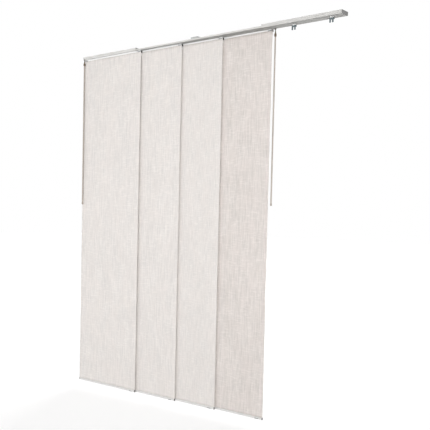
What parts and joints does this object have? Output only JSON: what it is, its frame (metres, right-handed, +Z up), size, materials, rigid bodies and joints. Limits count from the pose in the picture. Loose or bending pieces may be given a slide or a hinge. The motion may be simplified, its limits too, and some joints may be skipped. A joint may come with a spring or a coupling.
{
  "type": "panel track blind",
  "caption": "Ceiling-hung panel blind: flat linen-look fabric panels hang from carriers in a telescoping multi-channel track and are drawn along by hanging wands.",
  "frame": {"origin": "middle of the ceiling face, on top of the ceiling bracket at the rail joint", "axes": "X along the track to the right as seen from the room, +Y towards the window, +Z up"},
  "size_m": [2.19, 0.0912, 2.438],
  "materials": {
    "track_aluminium": "satin light grey coat",
    "rail_steel": "satin pale grey coat",
    "bracket_plastic": "moulded, ribbed",
    "screw_steel": "plain zinc",
    "cap_plastic": "matt dark grey",
    "glider_plastic": "white moulded",
    "clip_steel": "spring steel, plain",
    "slat_plastic": "white extruded",
    "grip_fabric": "hook-and-loop",
    "panel_fabric": "linen-look weave",
    "bar_aluminium": "satin light grey coat",
    "plug_plastic": "matt dark grey",
    "wire_steel": "satin nickel",
    "knob_plastic": "matt brown",
    "rod_metal": "satin warm grey"
  },
  "bodies": {
    "centre_rails": {"left_rail_1": "rail_steel", "left_rail_2": "rail_steel", "left_rail_3": "rail_steel", "left_rail_4": "rail_steel", "right_rail_1": "rail_steel", "right_rail_2": "rail_steel", "right_rail_3": "rail_steel", "right_rail_4": "rail_steel", "ceiling_bracket": "bracket_plastic", "bracket_screws": "screw_steel"},
    "left_section": {"left_outer_track": "track_aluminium", "left_end_cap": "cap_plastic"},
    "right_section": {"right_outer_track": "track_aluminium", "right_end_cap": "cap_plastic"},
    "panel_1": {"panel_1_gliders": "glider_plastic", "panel_1_clips": "clip_steel", "panel_1_slat": "slat_plastic", "panel_1_slat_plugs": "plug_plastic", "panel_1_grip_strip": "grip_fabric", "panel_1_fabric": "panel_fabric", "panel_1_bottom_bar": "bar_aluminium", "panel_1_bar_plugs": "plug_plastic", "left_wand_eye": "wire_steel"},
    "panel_2": {"panel_2_gliders": "glider_plastic", "panel_2_clips": "clip_steel", "panel_2_slat": "slat_plastic", "panel_2_slat_plugs": "plug_plastic", "panel_2_grip_strip": "grip_fabric", "panel_2_fabric": "panel_fabric", "panel_2_bottom_bar": "bar_aluminium", "panel_2_bar_plugs": "plug_plastic"},
    "panel_3": {"panel_3_gliders": "glider_plastic", "panel_3_clips": "clip_steel", "panel_3_slat": "slat_plastic", "panel_3_slat_plugs": "plug_plastic", "panel_3_grip_strip": "grip_fabric", "panel_3_fabric": "panel_fabric", "panel_3_bottom_bar": "bar_aluminium", "panel_3_bar_plugs": "plug_plastic"},
    "panel_4": {"panel_4_gliders": "glider_plastic", "panel_4_clips": "clip_steel", "panel_4_slat": "slat_plastic", "panel_4_slat_plugs": "plug_plastic", "panel_4_grip_strip": "grip_fabric", "panel_4_fabric": "panel_fabric", "panel_4_bottom_bar": "bar_aluminium", "panel_4_bar_plugs": "plug_plastic", "right_wand_eye": "wire_steel"},
    "spare_carrier_1": {"spare_1_glider": "glider_plastic", "spare_1_clip": "clip_steel"},
    "spare_carrier_2": {"spare_2_glider": "glider_plastic", "spare_2_clip": "clip_steel"},
    "left_link": {"left_wand_link": "wire_steel"},
    "left_wand": {"left_wand_knob": "knob_plastic", "left_wand_rod": "rod_metal", "left_wand_tip": "knob_plastic"},
    "right_link": {"right_wand_link": "wire_steel"},
    "right_wand": {"right_wand_knob": "knob_plastic", "right_wand_rod": "rod_metal", "right_wand_tip": "knob_plastic"}
  },
  "joints": [
    {"name": "left_section_slide", "type": "slide", "parent": "centre_rails", "child": "left_section", "axis": [-1, 0, 0], "range_m": [-0.509, 0]},
    {"name": "right_section_slide", "type": "slide", "parent": "centre_rails", "child": "right_section", "axis": [1, 0, 0], "range_m": [-0.509, 0]},
    {"name": "panel_1_slide", "type": "slide", "parent": "left_section", "child": "panel_1", "axis": [1, 0, 0], "range_m": [-0.006, 1.583]},
    {"name": "panel_2_slide", "type": "slide", "parent": "left_section", "child": "panel_2", "axis": [1, 0, 0], "range_m": [-0.374, 1.122]},
    {"name": "panel_3_slide", "type": "slide", "parent": "left_section", "child": "panel_3", "axis": [1, 0, 0], "range_m": [-0.709, 0.521]},
    {"name": "panel_4_slide", "type": "slide", "parent": "left_section", "child": "panel_4", "axis": [1, 0, 0], "range_m": [-1.082, 0.507]},
    {"name": "spare_carrier_1_slide", "type": "slide", "parent": "right_section", "child": "spare_carrier_1", "axis": [1, 0, 0], "range_m": [-0.196, 0.324]},
    {"name": "spare_carrier_2_slide", "type": "slide", "parent": "right_section", "child": "spare_carrier_2", "axis": [1, 0, 0], "range_m": [-0.462, 0.058]},
    {"name": "left_link_swing", "type": "hinge", "parent": "panel_1", "child": "left_link", "pos_m": [-1.066, -0.0495, -0.02575], "axis": [1, 0, 0], "range_deg": [-70, 0]},
    {"name": "left_wand_swing", "type": "hinge", "parent": "left_link", "child": "left_wand", "pos_m": [-1.066, -0.0495, -0.04275], "axis": [0, 1, 0], "range_deg": [-60, 60]},
    {"name": "right_link_swing", "type": "hinge", "parent": "panel_4", "child": "right_link", "pos_m": [0.606, 0.0255, -0.02575], "axis": [0, 1, 0], "range_deg": [-70, 0]},
    {"name": "right_wand_swing", "type": "hinge", "parent": "right_link", "child": "right_wand", "pos_m": [0.606, 0.0255, -0.04275], "axis": [-1, 0, 0], "range_deg": [-60, 60]}
  ]
}
